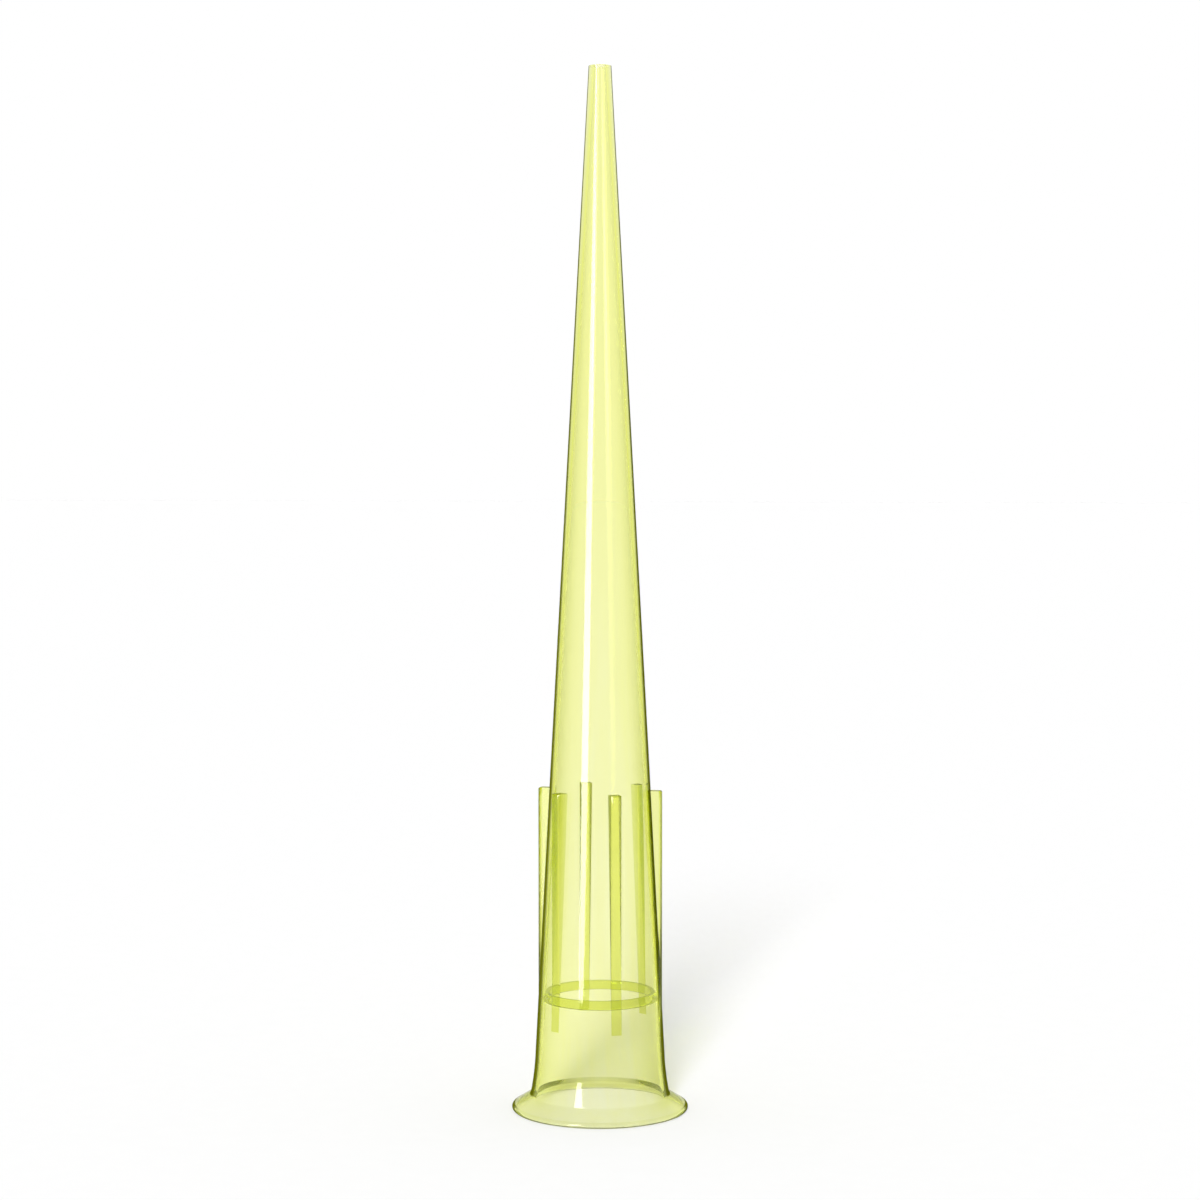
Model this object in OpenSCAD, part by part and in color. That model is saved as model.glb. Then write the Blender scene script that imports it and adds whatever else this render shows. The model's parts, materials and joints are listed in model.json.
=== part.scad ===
// Pipette tip: one thin-walled moulding that stands on the turned-out lip of its mouth, point up.
// The origin is the centre of the mouth, on the plane it stands on, and +Z runs up the axis to the point.

/* [Barrel] */
// Length from the mouth to the point
tip_length = 50; // [45:0.5:55]
// Diameter of the barrel's outer cone where it reaches the mouth plane
barrel_d = 6.52; // [6.4:0.02:6.6]
// Height at which the barrel's taper changes slightly, above the ribs
break_z = 16; // [15.6:0.1:20]
// Outer diameter at that height
break_d = 4.82; // [4.7:0.01:4.9]
// Outer diameter at the point
point_d = 1.08; // [1:0.02:1.3]
// Diameter of the opening at the point
orifice_d = 0.5; // [0.3:0.02:0.6]
// Thickness of the barrel's wall
wall = 0.3; // [0.2:0.01:0.4]

/* [Lip] */
// Diameter over the turned-out lip
rim_d = 8.5; // [8:0.1:9]
// Thickness of the lip's rounded edge
rim_edge = 0.24; // [0.16:0.02:0.28]
// Slope of the lip, from level
lip_slope = 32; // [24:1:40]
// Diameter of the corner where the lip leaves the barrel
lip_foot_d = 6.7; // [6.66:0.01:6.8]
// Radius of the gentle curve that flares the barrel down to that corner
flare_r = 13; // [8:0.5:20]

/* [Sealing bead] */
// Height of the bead's middle above the mouth
bead_z = 5.5; // [4:0.1:8]
// Height of the bead, measured along the axis
bead_h = 0.44; // [0.3:0.02:0.6]
// Diameter of the bead's crest, which grips the pipette's nozzle
seal_d = 4.84; // [4.6:0.02:4.94]
// Radius of the bead's two rounded corners
bead_round = 0.1; // [0.04:0.01:0.14]

/* [Ribs] */
// Number of ribs around the barrel
rib_count = 6; // [3:1:12]
// Thickness of one rib
rib_t = 0.5; // [0.3:0.05:0.8]
// Diameter over the ribs
rib_d = 6.08; // [5.9:0.02:6.2]
// Height of the ribs' square ends above the mouth
rib_end_z = 15.5; // [12:0.5:20]

/* [Hidden] */
$fn = 96;
// Cuts and overlaps pass the faces they cross by this much
past = 1;
// The flare's curve runs this far into the cone, so that their joint is one clean edge
bite = 0.001;

// In section the barrel's outside is a straight line from cone_foot up to cone_top, and another from there to the point
cone_top = [break_d / 2, break_z];
taper = (barrel_d - break_d) / 2 / break_z;
lean = atan(taper);
out_of_cone = [cos(lean), sin(lean)];
up_the_cone = [-sin(lean), cos(lean)];
cone_foot = [barrel_d / 2, 0];
inner_foot = cone_foot - wall * out_of_cone;
inner_top = cone_top - wall * out_of_cone;

// The lip's edge is round, and its upper side is a straight line that touches that round
edge_r = rim_edge / 2;
edge_centre = [rim_d / 2 - edge_r, edge_r];
out_of_lip = [sin(lip_slope), cos(lip_slope)];
lip_top = edge_centre + edge_r * out_of_lip;

// The height of the lip's upper side at any radius
function lip_z(r) = lip_top.y + (lip_top.x - r) * tan(lip_slope);

// The corner between the lip and the barrel, and a point on the same line inside the barrel
lip_foot = [lip_foot_d / 2, lip_z(lip_foot_d / 2)];
lip_root = [inner_foot.x, lip_z(inner_foot.x)];

// The lip is as thick as the barrel, so its lower side is parallel and starts here on the mouth plane
mouth_r = lip_foot.x + (lip_foot.y - wall / cos(lip_slope)) / tan(lip_slope);

// The flare's curve touches the cone and passes through that corner, which gives the place of its centre
flare_off = flare_r - bite;
foot_off = (lip_foot - cone_foot) * out_of_cone;
foot_up = (lip_foot - cone_foot) * up_the_cone;
flare_up = foot_up + sqrt(pow(flare_r, 2) - pow(flare_off - foot_off, 2));
flare_foot = cone_foot + flare_up * up_the_cone;
flare_centre = flare_foot + flare_off * out_of_cone;

// The ribs come out of the cone at this height
rib_root_z = (barrel_d - rib_d) / 2 / taper;

// Section of the whole outside, filled to the axis
module outside_section() {
    polygon([[0, 0], cone_foot, cone_top, [point_d / 2, tip_length], [0, tip_length]]);
    difference() {
        polygon([[0, 0], [lip_foot.x, 0], flare_centre, flare_foot, [0, flare_foot.y]]);
        translate(flare_centre) circle(r = flare_r);
    }
    polygon([[0, 0], [edge_centre.x, 0], edge_centre, lip_top, lip_root, [0, lip_root.y]]);
    translate(edge_centre) circle(r = edge_r);
}

// Section of the inside: under the lip, up the flare, and the long cone to the orifice
module inside_section() {
    difference() {
        translate([0, -past]) square([flare_centre.x, flare_foot.y + past]);
        translate(flare_centre) circle(r = flare_r + wall);
    }
    polygon([[0, -past], [mouth_r + past / tan(lip_slope), -past], [0, mouth_r * tan(lip_slope)]]);
    polygon([[0, -past], [inner_foot.x, -past], inner_foot, inner_top, [orifice_d / 2, tip_length],
             [orifice_d / 2, tip_length + past], [0, tip_length + past]]);
}

// Section of the sealing bead, which reaches back into the wall
module bead_section() {
    reach = (barrel_d - seal_d) / 2 - bead_round;
    translate([seal_d / 2, bead_z - bead_h / 2]) {
        translate([bead_round, 0]) square([reach, bead_h]);
        translate([0, bead_round]) square([reach, bead_h - 2 * bead_round]);
        for (z = [bead_round, bead_h - bead_round])
            translate([bead_round, z]) circle(r = bead_round);
    }
}

// One straight rib along +X, from inside the wall where the cone covers it to its square end
module rib() {
    translate([0, -rib_t / 2, rib_root_z - past]) cube([rib_d, rib_t, rib_end_z - rib_root_z + past]);
}

module tip() {
    color([0.91, 0.93, 0.42, 0.75])
    difference() {
        union() {
            rotate_extrude() outside_section();
            intersection() {
                cylinder(h = rib_end_z, d = rib_d);
                for (i = [0:rib_count - 1]) rotate(i * 360 / rib_count) rib();
            }
        }
        rotate_extrude() difference() {
            inside_section();
            bead_section();
        }
    }
}

tip();
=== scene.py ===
"""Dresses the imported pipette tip: one clear yellow moulding that stands on its mouth."""

import json
import math

import bmesh
import bpy
from mathutils import Matrix, Vector


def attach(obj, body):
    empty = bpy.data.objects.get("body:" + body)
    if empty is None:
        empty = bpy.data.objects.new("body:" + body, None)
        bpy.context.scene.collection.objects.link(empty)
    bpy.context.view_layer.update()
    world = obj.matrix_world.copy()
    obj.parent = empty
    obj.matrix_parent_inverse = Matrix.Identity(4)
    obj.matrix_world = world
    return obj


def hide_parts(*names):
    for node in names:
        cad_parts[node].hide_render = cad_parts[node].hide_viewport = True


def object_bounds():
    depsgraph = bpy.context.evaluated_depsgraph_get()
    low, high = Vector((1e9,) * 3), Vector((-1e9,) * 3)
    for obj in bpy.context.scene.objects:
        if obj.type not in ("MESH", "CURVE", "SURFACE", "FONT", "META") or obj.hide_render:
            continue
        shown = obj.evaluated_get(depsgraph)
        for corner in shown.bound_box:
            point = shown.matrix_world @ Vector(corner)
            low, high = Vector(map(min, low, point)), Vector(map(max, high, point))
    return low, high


bl_info = {
    "name": "Pipette Tip",
    "version": (1, 0, 0),
    "blender": (4, 5, 0),
    "location": "View3D > Sidebar > Pipette Tip",
    "description": "Models a clear yellow pipette tip on its packed solid, "
                   "with its plastic and a pale studio",
    "category": "Add Mesh",
}

MM = 0.001

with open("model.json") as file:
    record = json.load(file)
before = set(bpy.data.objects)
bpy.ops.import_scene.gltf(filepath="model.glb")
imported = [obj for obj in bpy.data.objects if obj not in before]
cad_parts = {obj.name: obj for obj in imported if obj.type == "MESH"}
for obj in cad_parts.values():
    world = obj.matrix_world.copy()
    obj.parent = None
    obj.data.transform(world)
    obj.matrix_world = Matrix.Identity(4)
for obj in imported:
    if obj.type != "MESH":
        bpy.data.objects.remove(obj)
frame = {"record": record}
CAD_LOW, CAD_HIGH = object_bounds()
SEAL = next(m for m in frame["record"]["mounts"] if m["name"] == "seal")

# Steps of the section's arcs, and the pitch of the steps along its straight lines
EDGE_STEPS, FLARE_STEPS, ROUND_STEPS = 12, 16, 6
DETAIL_PITCH, FOOT_PITCH, RIB_PITCH, BARREL_PITCH = 0.1 * MM, 0.4 * MM, 0.5 * MM, 1.2 * MM
# Longer than the short lines that it is the pitch of, so that they take one step
ONE_STEP = MM
# A corner nearer than HAIR to a surface is on it, and corners nearer than WELD are joined
HAIR, WELD = 0.002 * MM, 0.0005 * MM
# Edges that turn more than this are sharp
SHARP_TURN = math.radians(30)

# The masks that the plastic reads from the mesh, and their values
MASKS = ("deep", "thick", "outline", "dull", "line")
# The last value on the next line is the share of painted shade in the dark line under the lip's
# edge
BEAD_DEPTH, SIDE_DEPTH, EDGE_DEPTH, LINE_SHADE = 1.0, 0.45, 0.3, 0.6
# Shares of the painted dark edge shade on the lip, the ribs, the ribs' sides and the bead's level
# faces
LIP_OUTLINE, RIB_OUTLINE, SIDE_OUTLINE, BEAD_OUTLINE = 0.3, 0.5, 0.5, 0.3
# A face is the bead's, a rib side's or the lip's when it is this far past the inner wall, the
# rib's root or the lip's root
BEAD_CLEAR, ROOT_CLEAR, LIP_CLEAR = 0.01 * MM, 0.01 * MM, 0.05 * MM
# The least part of its normal along the axis for a level face, away from or towards the axis for
# an outer or inner face, and straight down for the underside of the lip's edge
LEVEL_FACE, OUT_FACE, DOWN_FACE = 0.6, 0.05, 0.2
# From this height up the ribs are thick
RIB_THICK_Z = 12 * MM

# Heights over which the inside takes on its shine, the skin takes the point's tint, and what is
# seen aslant takes the whole of its painted shade
INNER_SHINE_Z = (26 * MM, 38 * MM)
AGED_Z = (8 * MM, 42 * MM)
ASLANT_SHADE_Z = (3 * MM, 18 * MM)
# The dullness that stays inside the point, and the share of the painted aslant shade at the mouth
INNER_DULL, ASLANT_SHADE_LOW = 0.3, 0.4

# Spans of a face's turn from view, where 0 is face on and 1 is edge on
ASLANT_SHADE_TURN = (0.15, 0.7)  # the skin takes its painted aslant shade
RIB_TURN = (0.08, 0.32)  # the ribs' faces take the deepest tint
SIDE_TURN = (0.1, 0.5)  # the ribs' sides take a share of it
SHINE_TURN = (0.45, 0.7)  # the coat loses some of its shine
EDGE_SHADE_TURN = (0.6, 0.76)  # the outline takes its painted dark edge shade
# That share of the deepest tint, and the shine that the coat keeps
SIDE_DEEPEST, ASLANT_SHINE = 0.7, 0.55
# The shine that a dull face keeps, and what the flow lines do to the tint and the roughness
DULL_SHINE, FLOW_TINT, FLOW_ROUGHNESS = 0.1, 0.5, 1.8

# Where the camera looks, how wide the key light is, and the strip lamp's place and strength
AIM_Z = 24.6 * MM
KEY_SPREAD = math.radians(11)
STRIP_SIDE, STRIP_DISTANCE, STRIP_Z = math.radians(-35), 60 * MM, 42 * MM
STRIP_SIZE, STRIP_RADIANCE = (19 * MM, 92 * MM), 12
# Angles above the horizon over which what the plastic reflects goes from white to the ceiling
CEILING_RISE = (math.radians(15), math.radians(50))
# Half of the floor's side, in metres
FLOOR_HALF = 3


# ---------------------------------------------------------------- settings

class TipSizes(bpy.types.PropertyGroup):
    """Sizes of the moulding"""

    length: bpy.props.FloatProperty(
        name="Length", description="From the mouth to the point",
        default=CAD_HIGH.z, unit="LENGTH")
    barrel_d: bpy.props.FloatProperty(
        name="Barrel diameter",
        description="The outer cone's diameter where it reaches the mouth plane",
        default=6.52 * MM, unit="LENGTH")
    break_z: bpy.props.FloatProperty(
        name="Break height",
        description="Where the barrel's taper changes slightly, above the ribs",
        default=16 * MM, unit="LENGTH")
    break_d: bpy.props.FloatProperty(
        name="Break diameter", description="Outer diameter at that height",
        default=4.82 * MM, unit="LENGTH")
    wall: bpy.props.FloatProperty(
        name="Wall", description="Thickness of the barrel's wall",
        default=0.3 * MM, unit="LENGTH")
    point_d: bpy.props.FloatProperty(
        name="Point diameter", description="Outer diameter at the point",
        default=1.08 * MM, unit="LENGTH")
    orifice_d: bpy.props.FloatProperty(
        name="Orifice diameter", description="Opening at the point",
        default=0.5 * MM, unit="LENGTH")
    rim_d: bpy.props.FloatProperty(
        name="Lip diameter", description="Over the turned-out lip",
        default=CAD_HIGH.x - CAD_LOW.x, unit="LENGTH")
    rim_edge: bpy.props.FloatProperty(
        name="Lip edge", description="Thickness of the lip's rounded edge",
        default=0.24 * MM, unit="LENGTH")
    lip_slope: bpy.props.FloatProperty(
        name="Lip slope", description="Fall of the lip, from level",
        default=math.radians(32), subtype="ANGLE")
    lip_foot_d: bpy.props.FloatProperty(
        name="Lip root", description="Diameter of the corner where the lip leaves the barrel",
        default=6.7 * MM, unit="LENGTH")
    lip_round: bpy.props.FloatProperty(
        name="Lip rounding", description="Radius of the soft corner at the lip's root",
        default=0.1 * MM, unit="LENGTH")
    flare_r: bpy.props.FloatProperty(
        name="Flare radius",
        description="Radius of the gentle curve that flares the barrel down to the lip",
        default=13 * MM, unit="LENGTH")
    bead_z: bpy.props.FloatProperty(
        name="Bead height", description="The sealing bead's middle above the mouth",
        default=SEAL["pos_m"][2], unit="LENGTH")
    bead_h: bpy.props.FloatProperty(
        name="Bead thickness", description="The sealing bead's size along the axis",
        default=0.44 * MM, unit="LENGTH")
    bead_round: bpy.props.FloatProperty(
        name="Bead rounding", description="Radius of the bead's two corners",
        default=0.1 * MM, unit="LENGTH")
    seal_d: bpy.props.FloatProperty(
        name="Seal diameter", description="Diameter of the bead's crest",
        default=2 * SEAL["dims"]["r_mm"] * MM, unit="LENGTH")
    rib_count: bpy.props.IntProperty(
        name="Ribs", description="Number of ribs around the barrel", default=6, min=3, max=12)
    rib_t: bpy.props.FloatProperty(
        name="Rib thickness", description="Thickness of one rib",
        default=0.5 * MM, unit="LENGTH")
    rib_d: bpy.props.FloatProperty(
        name="Rib diameter", description="Diameter over the ribs",
        default=6.08 * MM, unit="LENGTH")
    rib_end_z: bpy.props.FloatProperty(
        name="Rib end", description="Height of the ribs' square ends above the mouth",
        default=15.5 * MM, unit="LENGTH")
    rib_round: bpy.props.FloatProperty(
        name="Rib rounding", description="Size of the soft corner along each rib",
        default=0.06 * MM, unit="LENGTH")
    columns: bpy.props.IntProperty(
        name="Columns", description="Faces around the barrel", default=240, min=48, max=360)


# ---------------------------------------------------------------- the moulding

class Pen:
    """Draws a section in the XZ plane, one extruded line or spun arc after another."""

    def __init__(self, bm, start):
        self.bm = bm
        self.first = self.last = bm.verts.new((start.x, 0, start.y))

    @property
    def at(self):
        return Vector((self.last.co.x, self.last.co.z))

    def line(self, end, pitch):
        """A straight line, cut into steps of about a pitch."""
        run = end - self.at
        steps = max(1, round(run.length / pitch))
        for _ in range(steps):
            self.last = bmesh.ops.extrude_vert_indiv(self.bm, verts=[self.last])["verts"][0]
            bmesh.ops.translate(self.bm, verts=[self.last], vec=(run.x / steps, 0, run.y / steps))

    def arc(self, centre, turn, steps):
        """An arc about a centre; a positive turn goes from +X to +Z."""
        made = bmesh.ops.spin(self.bm, geom=[self.last], cent=(centre.x, 0, centre.y),
                              axis=(0, -1, 0), angle=turn, steps=steps)
        self.last = next(g for g in made["geom_last"] if isinstance(g, bmesh.types.BMVert))

    def close(self):
        self.bm.edges.new((self.last, self.first))


class Section:
    """The lines that the moulding's section follows: the barrel, the flare and the lip."""

    def __init__(self, s):
        self.foot = Vector((s.barrel_d / 2, 0))
        self.top = Vector((s.break_d / 2, s.break_z))
        self.end = Vector((s.point_d / 2, s.length))
        self.taper = (self.foot.x - self.top.x) / self.top.y
        self.lean = math.atan(self.taper)
        self.out = Vector((math.cos(self.lean), math.sin(self.lean)))
        up = Vector((-self.out.y, self.out.x))
        self.edge = Vector((s.rim_d - s.rim_edge, s.rim_edge)) / 2
        self.slope = Vector((math.cos(s.lip_slope), -math.sin(s.lip_slope)))
        self.off_lip = Vector((-self.slope.y, self.slope.x))
        touch = self.edge + s.rim_edge / 2 * self.off_lip
        self.corner = touch + (s.lip_foot_d / 2 - touch.x) / self.slope.x * self.slope
        under = self.corner - s.wall * self.off_lip
        self.mouth = under - under.y / self.slope.y * self.slope
        stand = self.corner - self.foot
        rise = stand.dot(up) + math.sqrt(s.flare_r ** 2 - (s.flare_r - stand.dot(self.out)) ** 2)
        self.flare = self.foot + rise * up + s.flare_r * self.out
        self.root_z = (s.barrel_d - s.rib_d) / 2 / self.taper

    def point(self, z, depth=0.0):
        """The place on the barrel's outside at a height, or below the break a depth under it."""
        if z > self.top.y:
            return self.top.lerp(self.end, (z - self.top.y) / (self.end.y - self.top.y))
        return Vector((self.foot.x - depth / math.cos(self.lean) - self.taper * z, z))

    def tuck(self, through, radius, rounding):
        """Centre of a soft corner between the flare, at a radius, and the lip's side at a point."""
        start = through + rounding * self.off_lip - self.flare
        along = start.dot(self.slope)
        reach = math.sqrt(along ** 2 - start.length_squared + (radius - rounding) ** 2)
        return self.flare + start - (along + reach) * self.slope


def bearing_of(line):
    """The angle of a line from +X, as one that turns down past the X axis."""
    angle = math.atan2(line.y, line.x)
    return angle - 2 * math.pi if angle > math.pi / 2 else angle


def draw_outside(pen, s, section):
    """Round the lip's edge, over the lip and the flare and along the barrel to the point."""
    pen.arc(section.edge, math.pi - s.lip_slope, EDGE_STEPS)
    soft = section.tuck(section.corner, s.flare_r, s.lip_round)
    pen.line(soft - s.lip_round * section.off_lip, DETAIL_PITCH)
    turned = bearing_of(soft - section.flare)
    pen.arc(soft, turned - bearing_of(-section.off_lip), ROUND_STEPS)
    pen.arc(section.flare, bearing_of(-section.out) - turned, FLARE_STEPS)
    pen.line(section.point(section.root_z), FOOT_PITCH)
    pen.line(section.point(s.rib_end_z - s.rib_round), RIB_PITCH)
    pen.line(section.point(s.rib_end_z), ONE_STEP)
    pen.line(section.top, RIB_PITCH)
    pen.line(section.end, BARREL_PITCH)


def draw_inside(pen, s, section):
    """Across the point, down the bore, over the sealing bead and out under the lip to the mouth."""
    low, high = s.bead_z - s.bead_h / 2, s.bead_z + s.bead_h / 2
    crest = s.seal_d / 2 + s.bead_round
    pen.line(Vector((s.orifice_d / 2, s.length)), DETAIL_PITCH)
    pen.line(section.top - s.wall * section.out, BARREL_PITCH)
    pen.line(section.point(high, s.wall), BARREL_PITCH)
    pen.line(Vector((crest, high)), ONE_STEP)
    pen.arc(Vector((crest, high - s.bead_round)), math.pi / 2, ROUND_STEPS)
    pen.line(Vector((s.seal_d / 2, low + s.bead_round)), DETAIL_PITCH)
    pen.arc(Vector((crest, low + s.bead_round)), math.pi / 2, ROUND_STEPS)
    pen.line(section.point(low, s.wall), ONE_STEP)
    pen.line(section.flare - (s.flare_r + s.wall) * section.out, FOOT_PITCH)
    soft = section.tuck(section.mouth, s.flare_r + s.wall, s.lip_round)
    turned = bearing_of(soft - section.flare)
    pen.arc(section.flare, turned - bearing_of(-section.out), FLARE_STEPS)
    pen.arc(soft, bearing_of(-section.off_lip) - turned, ROUND_STEPS)
    pen.line(section.mouth, DETAIL_PITCH)


def raise_rib(bm, s, section, turn):
    """Pulls one rib out of the barrel: the faces between its sides, from its root to its end."""
    to_rib, from_rib = Matrix.Rotation(-turn, 4, "Z"), Matrix.Rotation(turn, 4, "Z")
    step, half = 2 * math.pi / s.columns, s.rib_t / 2
    reach = math.ceil(math.asin(half / section.point(s.rib_end_z).x) / step)
    footing = []
    for v in bm.verts:
        if not section.root_z - HAIR < v.co.z < s.rib_end_z + HAIR:
            continue
        here = to_rib @ v.co
        radius, angle = math.hypot(here.x, here.y), math.atan2(here.y, here.x)
        on_barrel = abs(radius - section.point(here.z).x) < HAIR
        if on_barrel and abs(angle) < (reach + 0.5) * step:
            across = half * angle / (reach * step)
            v.co = from_rib @ Vector((math.sqrt(radius ** 2 - across ** 2), across, here.z))
            footing.append(v)
    chosen = set(footing)
    faces = [f for f in bm.faces if chosen.issuperset(f.verts)]
    made = bmesh.ops.extrude_face_region(bm, geom=faces)["geom"]
    bmesh.ops.delete(bm, geom=faces, context="FACES")
    for v in (g for g in made if isinstance(g, bmesh.types.BMVert)):
        here = to_rib @ v.co
        top = math.sqrt((s.rib_d / 2) ** 2 - here.y ** 2)
        corner = min(s.rib_round, (top - here.x) / 2)
        at_side, at_end = abs(here.y) > half - HAIR, here.z > s.rib_end_z - HAIR
        v.co = from_rib @ Vector((top - corner * (at_side or at_end), here.y, here.z))
    return [g for g in made if isinstance(g, bmesh.types.BMFace)]


def shade(bm, limit):
    """Smooth shading, but for the edges that turn more than a limit."""
    for face in bm.faces:
        face.smooth = True
    for edge in bm.edges:
        edge.smooth = edge.is_manifold and edge.calc_face_angle() < limit


def paint(faces, layer, value):
    """Gives a mask its value at each corner of the faces: a number, or a function of the height."""
    for face in faces:
        for loop in face.loops:
            loop[layer] = value(loop.vert.co.z) if callable(value) else value


def over(low, high, start, end):
    """A function of the height that runs from one value to another between two heights."""
    return lambda z: start + (end - start) * min(max((z - low) / (high - low), 0), 1)


def mark_skin(bm, s, section, ribs):
    """Five masks: how deep a face's yellow is, how thick the plastic is under it, how much painted
    dark shade it takes where it is seen edge on, how dull it is, and the painted dark line of shade
    under the lip's edge."""
    deep, thick, outline, dull, line = (bm.loops.layers.float[name] for name in MASKS)
    for face in bm.faces:
        middle = face.calc_center_median()
        radius = math.hypot(middle.x, middle.y)
        outwards = (face.normal.x * middle.x + face.normal.y * middle.y) / radius
        inside = radius < section.point(middle.z, s.wall).x - BEAD_CLEAR
        if inside and abs(middle.z - s.bead_z) < s.bead_h:
            paint([face], deep, BEAD_DEPTH)
            paint([face], outline, BEAD_OUTLINE if abs(face.normal.z) > LEVEL_FACE else 0.0)
        elif radius > section.edge.x:
            paint([face], deep, EDGE_DEPTH)
            paint([face], outline, 1.0)
            paint([face], line, LINE_SHADE if face.normal.z < -DOWN_FACE else 0.0)
        elif radius > section.corner.x + LIP_CLEAR and outwards > 0:
            paint([face], outline, LIP_OUTLINE)
        elif outwards > OUT_FACE:
            paint([face], outline, 1.0)
        elif outwards < -OUT_FACE:
            paint([face], dull, over(*INNER_SHINE_Z, 1, INNER_DULL))
    for faces in ribs:
        beside = {f for face in faces for e in face.edges for f in e.link_faces} - set(faces)
        sides = [f for f in beside if max(v.co.z for v in f.verts) > section.root_z + ROOT_CLEAR]
        paint(faces, deep, 1.0)
        paint(faces, thick, over(section.root_z, RIB_THICK_Z, 0, 1))
        paint(faces, outline, over(section.root_z, RIB_THICK_Z, 1, RIB_OUTLINE))
        paint(sides, deep, SIDE_DEPTH)
        paint(sides, thick, 1.0)
        paint(sides, outline, SIDE_OUTLINE)
        paint(sides, dull, 1.0)


def tip_mesh(s):
    """The whole moulding as one closed skin."""
    section = Section(s)
    bm = bmesh.new()
    pen = Pen(bm, Vector((section.edge.x, 0)))
    draw_outside(pen, s, section)
    draw_inside(pen, s, section)
    pen.close()
    bmesh.ops.spin(bm, geom=bm.verts[:] + bm.edges[:], cent=(0, 0, 0), axis=(0, 0, 1),
                   angle=2 * math.pi, steps=s.columns, use_merge=True)
    for mask in MASKS:
        bm.loops.layers.float.new(mask)
    ribs = [raise_rib(bm, s, section, 2 * math.pi * i / s.rib_count)
            for i in range(s.rib_count)]
    bmesh.ops.remove_doubles(bm, verts=bm.verts, dist=WELD)
    bmesh.ops.recalc_face_normals(bm, faces=bm.faces)
    mark_skin(bm, s, section, [[f for f in faces if f.is_valid] for faces in ribs])
    shade(bm, SHARP_TURN)
    mesh = bpy.data.meshes.new("pipette_tip")
    bm.to_mesh(mesh)
    bm.free()
    return mesh


# ---------------------------------------------------------------- the plastic

class Nodes:
    """Short ways to add and join nodes in one tree."""

    def __init__(self, tree):
        self.tree = tree

    def add(self, kind, inputs=None, **settings):
        """A node, with its settings and with its inputs by their labels."""
        node = self.tree.nodes.new(kind)
        for name, value in settings.items():
            setattr(node, name, value)
        for label, value in (inputs or {}).items():
            self.put(node.inputs[label], value)
        return node

    def put(self, socket, value):
        """Joins a socket to another, or gives it a plain value."""
        if isinstance(value, bpy.types.NodeSocket):
            self.tree.links.new(value, socket)
        else:
            socket.default_value = value

    def math(self, operation, *values):
        node = self.add("ShaderNodeMath", operation=operation)
        for socket, value in zip(node.inputs, values):
            self.put(socket, value)
        return node.outputs[0]

    def ramp(self, value, start, end, low, high):
        """A soft step of a value from one level to another."""
        return self.add("ShaderNodeMapRange", {
            "Value": value, "From Min": start, "From Max": end, "To Min": low, "To Max": high,
        }, interpolation_type="SMOOTHSTEP").outputs[0]

    def blend(self, share, first, second):
        """A mix of two colours."""
        node = self.add("ShaderNodeMix", data_type="RGBA")
        for name, value in (("Factor_Float", share), ("A_Color", first), ("B_Color", second)):
            self.put(next(i for i in node.inputs if i.identifier == name), value)
        return next(o for o in node.outputs if o.identifier == "Result_Color")

    def mix(self, share, first, second):
        """A mix of two shaders."""
        node = self.add("ShaderNodeMixShader")
        for socket, value in zip(node.inputs, (share, first, second)):
            self.put(socket, value)
        return node.outputs[0]


def rgba(color):
    return tuple(color) + (1,)


def seen(n):
    """1 for what is seen directly, mirrored or through the plastic, 0 for light on a surface."""
    path = n.add("ShaderNodeLightPath")
    through = n.math("MAXIMUM", path.outputs["Is Glossy Ray"], path.outputs["Is Transmission Ray"])
    direct = n.math("MAXIMUM", through, path.outputs["Is Camera Ray"])
    return n.math("MULTIPLY", direct, n.math("LESS_THAN", path.outputs["Diffuse Depth"], 0.5))


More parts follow.
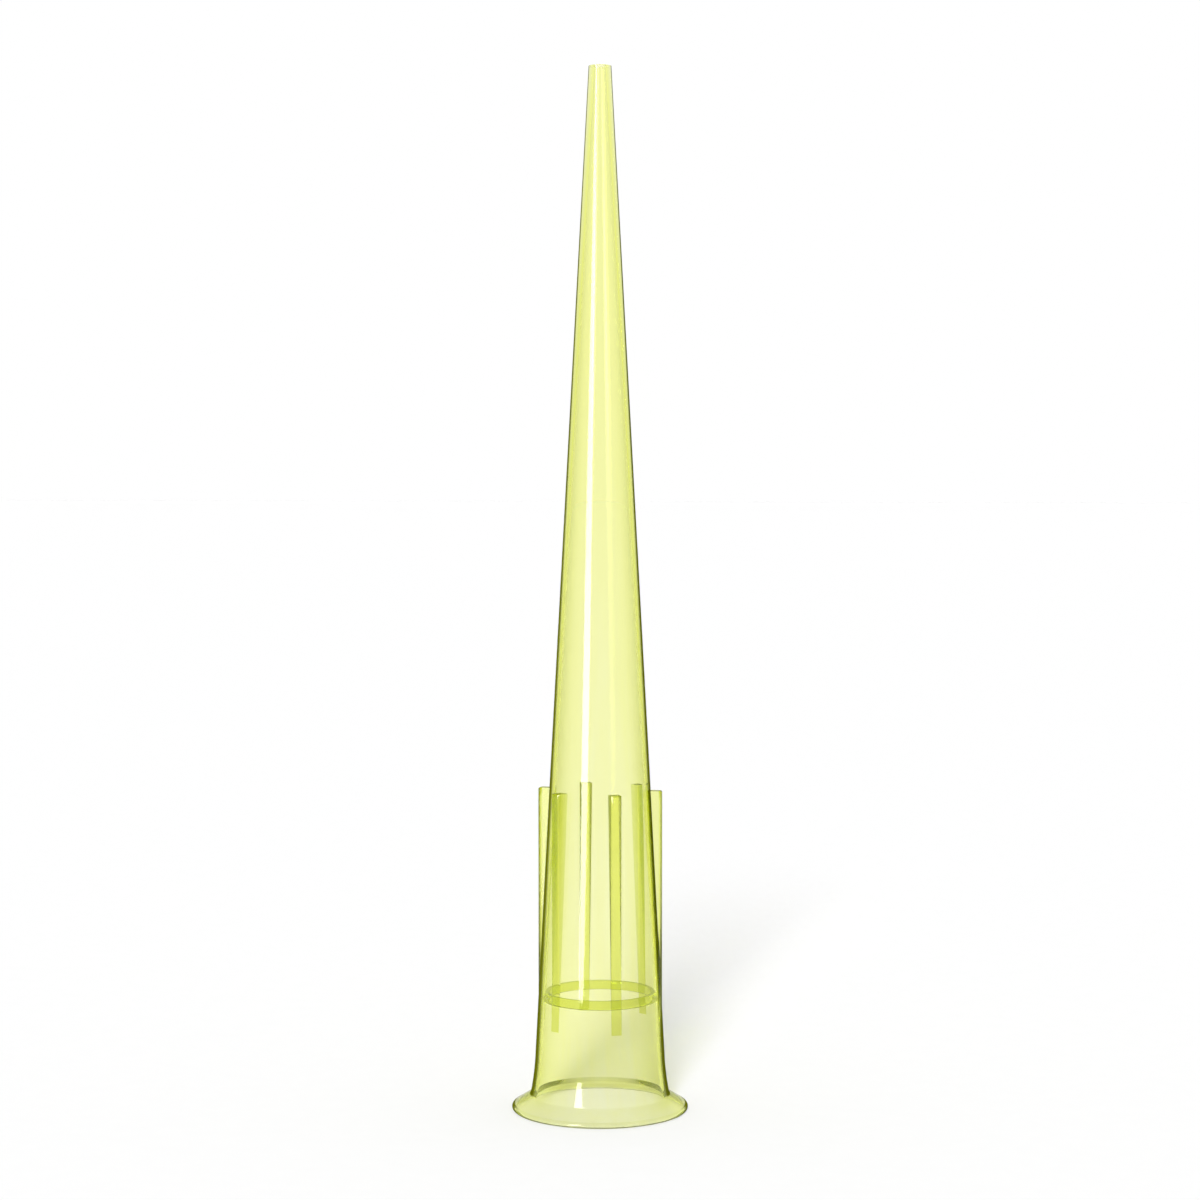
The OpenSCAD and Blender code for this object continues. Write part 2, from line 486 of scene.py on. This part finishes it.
class TipLook(bpy.types.PropertyGroup):
    """Colour and finish of the plastic"""

    dye: bpy.props.FloatVectorProperty(
        name="Dye", description="The colour that the plastic lets through",
        default=(0.885, 0.918, 0.02), size=3, min=0, max=1, subtype="COLOR")
    dye_density: bpy.props.FloatProperty(
        name="Dye density",
        description="How strongly a metre of plastic takes the other colours",
        default=1100, min=0)
    deep: bpy.props.FloatVectorProperty(
        name="Deep tint", description="Extra tint of the ribs' and the bead's faces",
        default=(0.67, 0.74, 0.1), size=3, min=0, max=1, subtype="COLOR")
    thick: bpy.props.FloatVectorProperty(
        name="Thick tint", description="Extra tint of the ribs' faces where the ribs are thick",
        default=(0.84, 0.87, 0.24), size=3, min=0, max=1, subtype="COLOR")
    aged: bpy.props.FloatVectorProperty(
        name="Point tint", description="Extra tint of the skin towards the point",
        default=(0.99, 0.99, 0.82), size=3, min=0, max=1, subtype="COLOR")
    # Painted shade: the skin is darkened where it is seen aslant, more so up the barrel
    aslant: bpy.props.FloatVectorProperty(
        name="Aslant tint", description="Extra tint of the skin where it is seen aslant",
        default=(0.88, 0.885, 0.84), size=3, min=0, max=1, subtype="COLOR")
    deepest: bpy.props.FloatVectorProperty(
        name="Deepest tint", description="Tint of the ribs' faces where they are seen aslant",
        default=(0.46, 0.56, 0), size=3, min=0, max=1, subtype="COLOR")
    shadow: bpy.props.FloatVectorProperty(
        name="Shadow tint", description="What a lamp's light keeps at each surface it crosses",
        default=(0.775, 0.77, 0.98), size=3, min=0, max=1, subtype="COLOR")
    # Painted shade: the dark olive that the skin is given where it is seen edge on, as a dark
    # diffuse share
    edge_shade: bpy.props.FloatProperty(
        name="Haze", description="How cloudy the skin gets where it is seen edge on",
        default=1.0, min=0, max=1, subtype="FACTOR")
    # The colour of that painted dark edge shade
    edge_shade_color: bpy.props.FloatVectorProperty(
        name="Haze colour", description="The colour of the cloudy edges",
        default=(0.13, 0.145, 0.004), size=3, min=0, max=1, subtype="COLOR")
    bend: bpy.props.FloatProperty(
        name="Bending", description="Index of refraction for what is seen through the thin wall",
        default=1.04, min=1, max=2)
    gloss: bpy.props.FloatProperty(
        name="Gloss", description="Index of refraction of the polished skin",
        default=1.49, min=1, max=2)
    roughness: bpy.props.FloatProperty(
        name="Roughness", description="The polish of the mould", default=0.03,
        min=0, max=1, subtype="FACTOR")


def mask(n, name):
    return n.add("ShaderNodeAttribute", attribute_name=name).outputs["Fac"]


def flow_lines(n):
    """Faint streaks along the barrel, as the melt leaves them in the mould: a mask from 0 to 1."""
    place = n.add("ShaderNodeTexCoord").outputs["Object"]
    stretch = n.add("ShaderNodeMapping", {"Vector": place, "Scale": (1, 1, 0.05)})
    noise = n.add("ShaderNodeTexNoise", {
        "Vector": stretch.outputs[0], "Scale": 2200, "Detail": 3, "Roughness": 0.55})
    return n.ramp(noise.outputs["Fac"], 0.35, 0.65, 0, 1)


def plastic(look):
    """The clear yellow plastic: a thin polished wall, deeper yellow on the ribs and the bead, with
    painted shade where it is seen aslant or edge on.
    """
    mat = bpy.data.materials.new("clear_yellow_plastic")
    mat.use_nodes = True
    mat.node_tree.nodes.clear()
    n = Nodes(mat.node_tree)
    flow = flow_lines(n)
    place = n.add("ShaderNodeTexCoord").outputs["Object"]
    up = n.add("ShaderNodeSeparateXYZ", {"Vector": place}).outputs["Z"]
    clean = n.blend(n.ramp(up, *AGED_Z, 0, 1), (1, 1, 1, 1), rgba(look.aged))
    clean = n.blend(n.math("MULTIPLY", flow, FLOW_TINT), clean, rgba(look.aged))
    facing = n.add("ShaderNodeLayerWeight", {"Blend": 0.5}).outputs["Facing"]
    # Painted shade: the clear skin darkens where it is seen aslant
    slant_shade = n.math("MULTIPLY", n.ramp(facing, *ASLANT_SHADE_TURN, 0, 1),
                   n.ramp(up, *ASLANT_SHADE_Z, ASLANT_SHADE_LOW, 1))
    clean = n.blend(slant_shade, clean, rgba(look.aslant))
    thick, dull = mask(n, "thick"), mask(n, "dull")
    turned = n.add("ShaderNodeMix", {
        "Factor": dull, "A": n.ramp(facing, *RIB_TURN, 0, 1),
        "B": n.ramp(facing, *SIDE_TURN, 0, SIDE_DEEPEST)}).outputs["Result"]
    dyed = n.blend(thick, rgba(look.deep), rgba(look.thick))
    tint = n.blend(n.math("MULTIPLY", turned, thick), n.blend(mask(n, "deep"), clean, dyed),
                   rgba(look.deepest))
    ripple = n.add("ShaderNodeTexNoise", {"Vector": place, "Scale": 420, "Detail": 2})
    bump = n.add("ShaderNodeBump", {
        "Strength": 0.35, "Distance": 0.006 * MM, "Height": ripple.outputs["Fac"]})
    rough = n.ramp(flow, 0, 1, look.roughness, look.roughness * FLOW_ROUGHNESS)
    inside = n.add("ShaderNodeNewGeometry").outputs["Backfacing"]
    behind = n.math("MULTIPLY", inside, n.ramp(up, *INNER_SHINE_Z, 1, INNER_DULL))
    dull = n.math("MAXIMUM", dull, behind)
    shine = n.math("MULTIPLY", n.ramp(dull, 0, 1, 1.0, DULL_SHINE),
                   n.ramp(facing, *SHINE_TURN, 1.0, ASLANT_SHINE))
    shader = n.add("ShaderNodeBsdfPrincipled", {
        "Base Color": tint, "Transmission Weight": 1.0, "IOR": look.bend, "Roughness": rough,
        "Coat Weight": shine, "Coat IOR": look.gloss, "Coat Roughness": look.roughness,
        "Normal": bump.outputs[0]})
    # Painted shade: a dark diffuse share darkens the skin where it is seen edge on, and along the
    # line under the lip's edge
    edge_on = n.math("MULTIPLY", n.ramp(facing, *EDGE_SHADE_TURN, 0, look.edge_shade), mask(n, "outline"))
    near_line_shade = n.math("MULTIPLY", mask(n, "line"), n.math("SUBTRACT", 1.0, inside))
    edge_on = n.math("MAXIMUM", edge_on, near_line_shade)
    dark_edge = n.add("ShaderNodeBsdfDiffuse", {"Color": rgba(look.edge_shade_color)})
    edge_shaded = n.mix(edge_on, shader.outputs[0], dark_edge.outputs[0])
    clear = n.add("ShaderNodeBsdfTransparent", {"Color": rgba(look.shadow)})
    path = n.add("ShaderNodeLightPath")
    dye = n.add("ShaderNodeVolumeAbsorption", {
        "Color": rgba(look.dye), "Density": look.dye_density})
    n.add("ShaderNodeOutputMaterial", {
        "Surface": n.mix(path.outputs["Is Shadow Ray"], edge_shaded, clear.outputs[0]),
        "Volume": dye.outputs[0]})
    return mat


# ---------------------------------------------------------------- the studio

def aim(obj, place, target):
    obj.location = place
    obj.rotation_mode = "QUATERNION"
    obj.rotation_quaternion = (Vector(target) - Vector(place)).to_track_quat("-Z", "Y")


def around(bearing, distance, height):
    """A place at a bearing from +X, a distance from the axis and a height."""
    return Vector((math.cos(bearing) * distance, math.sin(bearing) * distance, height))


class StudioSet(bpy.types.PropertyGroup):
    """Camera, floor and light"""

    view_bearing: bpy.props.FloatProperty(
        name="Camera bearing", description="Where the camera stands, from the rib on +X",
        default=math.radians(-75), subtype="ANGLE")
    view_distance: bpy.props.FloatProperty(
        name="Camera distance", description="From the tip's axis",
        default=124.5 * MM, unit="LENGTH")
    view_height: bpy.props.FloatProperty(
        name="Camera height", description="Above the floor", default=30.5 * MM, unit="LENGTH")
    view_span: bpy.props.FloatProperty(
        name="View height", description="The height that the frame takes in at the tip",
        default=57.5 * MM, unit="LENGTH")
    sky: bpy.props.FloatProperty(
        name="Soft light", description="Brightness of the light from all round", default=0.5, min=0)
    sun: bpy.props.FloatProperty(
        name="Key light", description="Strength of the soft key light", default=3.4, min=0)
    sun_side: bpy.props.FloatProperty(
        name="Key light's side", description="Bearing of the key light, from the camera's",
        default=math.radians(-8.5), subtype="ANGLE")
    sun_height: bpy.props.FloatProperty(
        name="Key light's height", description="The key light's angle above the floor",
        default=math.radians(35), subtype="ANGLE")
    ceiling: bpy.props.FloatProperty(
        name="Ceiling", description="Brightness that the plastic reflects from above",
        default=0.15, min=0)
    floor: bpy.props.FloatProperty(
        name="Floor", description="How much light the floor gives back", default=0.8, min=0, max=1)


def link_lamp(name, lamp, place, target):
    obj = bpy.data.objects.new(name, lamp)
    bpy.context.scene.collection.objects.link(obj)
    aim(obj, place, target)
    return obj


def light_box(name, place, target, size, radiance):
    """A soft oval lamp of even brightness, for the shine that it gives the plastic alone."""
    lamp = bpy.data.lights.new(name, "AREA")
    lamp.shape = "ELLIPSE"
    lamp.size, lamp.size_y = size
    # An even lamp gives pi times its radiance per area, and an oval fills pi / 4 of its box
    lamp.energy = radiance * math.pi * math.pi / 4 * size[0] * size[1]
    lamp.use_nodes = True
    n = Nodes(lamp.node_tree)
    depth = n.add("ShaderNodeLightPath").outputs["Diffuse Depth"]
    n.put(lamp.node_tree.nodes["Emission"].inputs["Strength"], n.math("LESS_THAN", depth, 0.5))
    link_lamp(name, lamp, place, target).visible_diffuse = False


def make_camera(studio):
    cam = bpy.data.cameras.new("camera")
    cam.sensor_width = 36
    cam.lens = cam.sensor_width / 2 / (studio.view_span / 2 / studio.view_distance)
    cam.clip_start, cam.clip_end = 1 * MM, 10
    obj = bpy.data.objects.new("camera", cam)
    bpy.context.scene.collection.objects.link(obj)
    place = around(studio.view_bearing, studio.view_distance, studio.view_height)
    aim(obj, place, (0, 0, AIM_Z))
    bpy.context.scene.camera = obj


def make_lamps(studio):
    key = bpy.data.lights.new("key_light", "SUN")
    key.energy = studio.sun
    key.angle = KEY_SPREAD
    bearing = studio.view_bearing + studio.sun_side
    place = around(bearing, math.cos(studio.sun_height), math.sin(studio.sun_height))
    link_lamp("key_light", key, place, (0, 0, 0)).visible_glossy = False
    place = around(studio.view_bearing + STRIP_SIDE, STRIP_DISTANCE, STRIP_Z)
    light_box("strip_light", place, (0, 0, STRIP_Z), STRIP_SIZE, STRIP_RADIANCE)


def make_world(studio):
    """White behind the tip and in what it reflects, and a softer light on everything."""
    world = bpy.data.worlds.new("studio")
    world.use_nodes = True
    world.node_tree.nodes.clear()
    n = Nodes(world.node_tree)
    soft = n.add("ShaderNodeBackground", {"Color": (1, 1, 1, 1), "Strength": studio.sky})
    place = n.add("ShaderNodeTexCoord").outputs["Generated"]
    rise = n.math("ARCSINE", n.add("ShaderNodeSeparateXYZ", {"Vector": place}).outputs["Z"])
    path = n.add("ShaderNodeLightPath")
    shown = n.ramp(rise, *CEILING_RISE, 1.0, studio.ceiling)
    plain = n.math("MAXIMUM", path.outputs["Is Camera Ray"], shown)
    white = n.add("ShaderNodeBackground", {"Color": (1, 1, 1, 1), "Strength": plain})
    n.add("ShaderNodeOutputWorld", {"Surface": n.mix(seen(n), soft.outputs[0], white.outputs[0])})
    bpy.context.scene.world = world


def make_floor(studio):
    bm = bmesh.new()
    bmesh.ops.create_grid(bm, x_segments=1, y_segments=1, size=FLOOR_HALF)
    mesh = bpy.data.meshes.new("floor")
    bm.to_mesh(mesh)
    bm.free()
    obj = bpy.data.objects.new("floor", mesh)
    bpy.context.scene.collection.objects.link(obj)
    mat = bpy.data.materials.new("pale_table")
    mat.use_nodes = True
    n = Nodes(mat.node_tree)
    shader = mat.node_tree.nodes["Principled BSDF"]
    place = n.add("ShaderNodeTexCoord").outputs["Object"]
    grain = n.add("ShaderNodeTexNoise", {"Vector": place, "Scale": 900, "Detail": 4}).outputs["Fac"]
    pale = studio.floor
    lit = pale * (studio.sky + studio.sun * math.sin(studio.sun_height) / math.pi)
    for label, value in {
            "Base Color": n.blend(grain, rgba([pale * 0.99] * 3), rgba([pale * 1.01] * 3)),
            "Roughness": n.ramp(grain, 0.3, 0.7, 0.85, 0.95), "Specular IOR Level": 0.0,
            "Emission Color": n.blend(seen(n), (0, 0, 0, 1), rgba([1.0 - lit] * 3)),
            "Emission Strength": 1.0}.items():
        n.put(shader.inputs[label], value)
    mesh.materials.append(mat)


# ---------------------------------------------------------------- operators

class TIP_OT_moulding(bpy.types.Operator):
    """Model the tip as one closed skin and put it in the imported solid's place"""
    bl_idname = "tip.moulding"
    bl_label = "Tip"

    def execute(self, context):
        mesh = tip_mesh(context.scene.tip_sizes)
        mesh.materials.append(plastic(context.scene.tip_look))
        obj = bpy.data.objects.new("pipette_tip", mesh)
        context.scene.collection.objects.link(obj)
        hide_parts("tip")
        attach(obj, "root")
        return {"FINISHED"}


class TIP_OT_studio(bpy.types.Operator):
    """Set up the camera, the floor and the lamps"""
    bl_idname = "tip.studio"
    bl_label = "Studio"

    def execute(self, context):
        studio = context.scene.tip_studio
        make_camera(studio)
        make_world(studio)
        make_floor(studio)
        make_lamps(studio)
        context.scene.view_settings.view_transform = "Standard"
        return {"FINISHED"}


class TIP_PT_panel(bpy.types.Panel):
    """Lists the tip's sizes, its look and the studio"""
    bl_idname = "TIP_PT_panel"
    bl_label = "Pipette Tip"
    bl_space_type = "VIEW_3D"
    bl_region_type = "UI"
    bl_category = "Pipette Tip"

    def draw(self, context):
        for group in (context.scene.tip_sizes, context.scene.tip_look, context.scene.tip_studio):
            box = self.layout.box()
            for name in group.__annotations__:
                box.prop(group, name)
        self.layout.operator("tip.moulding")
        self.layout.operator("tip.studio")


CLASSES = (TipSizes, TipLook, StudioSet, TIP_OT_moulding, TIP_OT_studio, TIP_PT_panel)
GROUPS = {"tip_sizes": TipSizes, "tip_look": TipLook, "tip_studio": StudioSet}


def register():
    for cls in CLASSES:
        bpy.utils.register_class(cls)
    for name, group in GROUPS.items():
        setattr(bpy.types.Scene, name, bpy.props.PointerProperty(type=group))


def unregister():
    for name in GROUPS:
        delattr(bpy.types.Scene, name)
    for cls in reversed(CLASSES):
        bpy.utils.unregister_class(cls)


def main():
    register()
    bpy.ops.tip.moulding()
    bpy.ops.tip.studio()


if __name__ == "__main__":
    main()
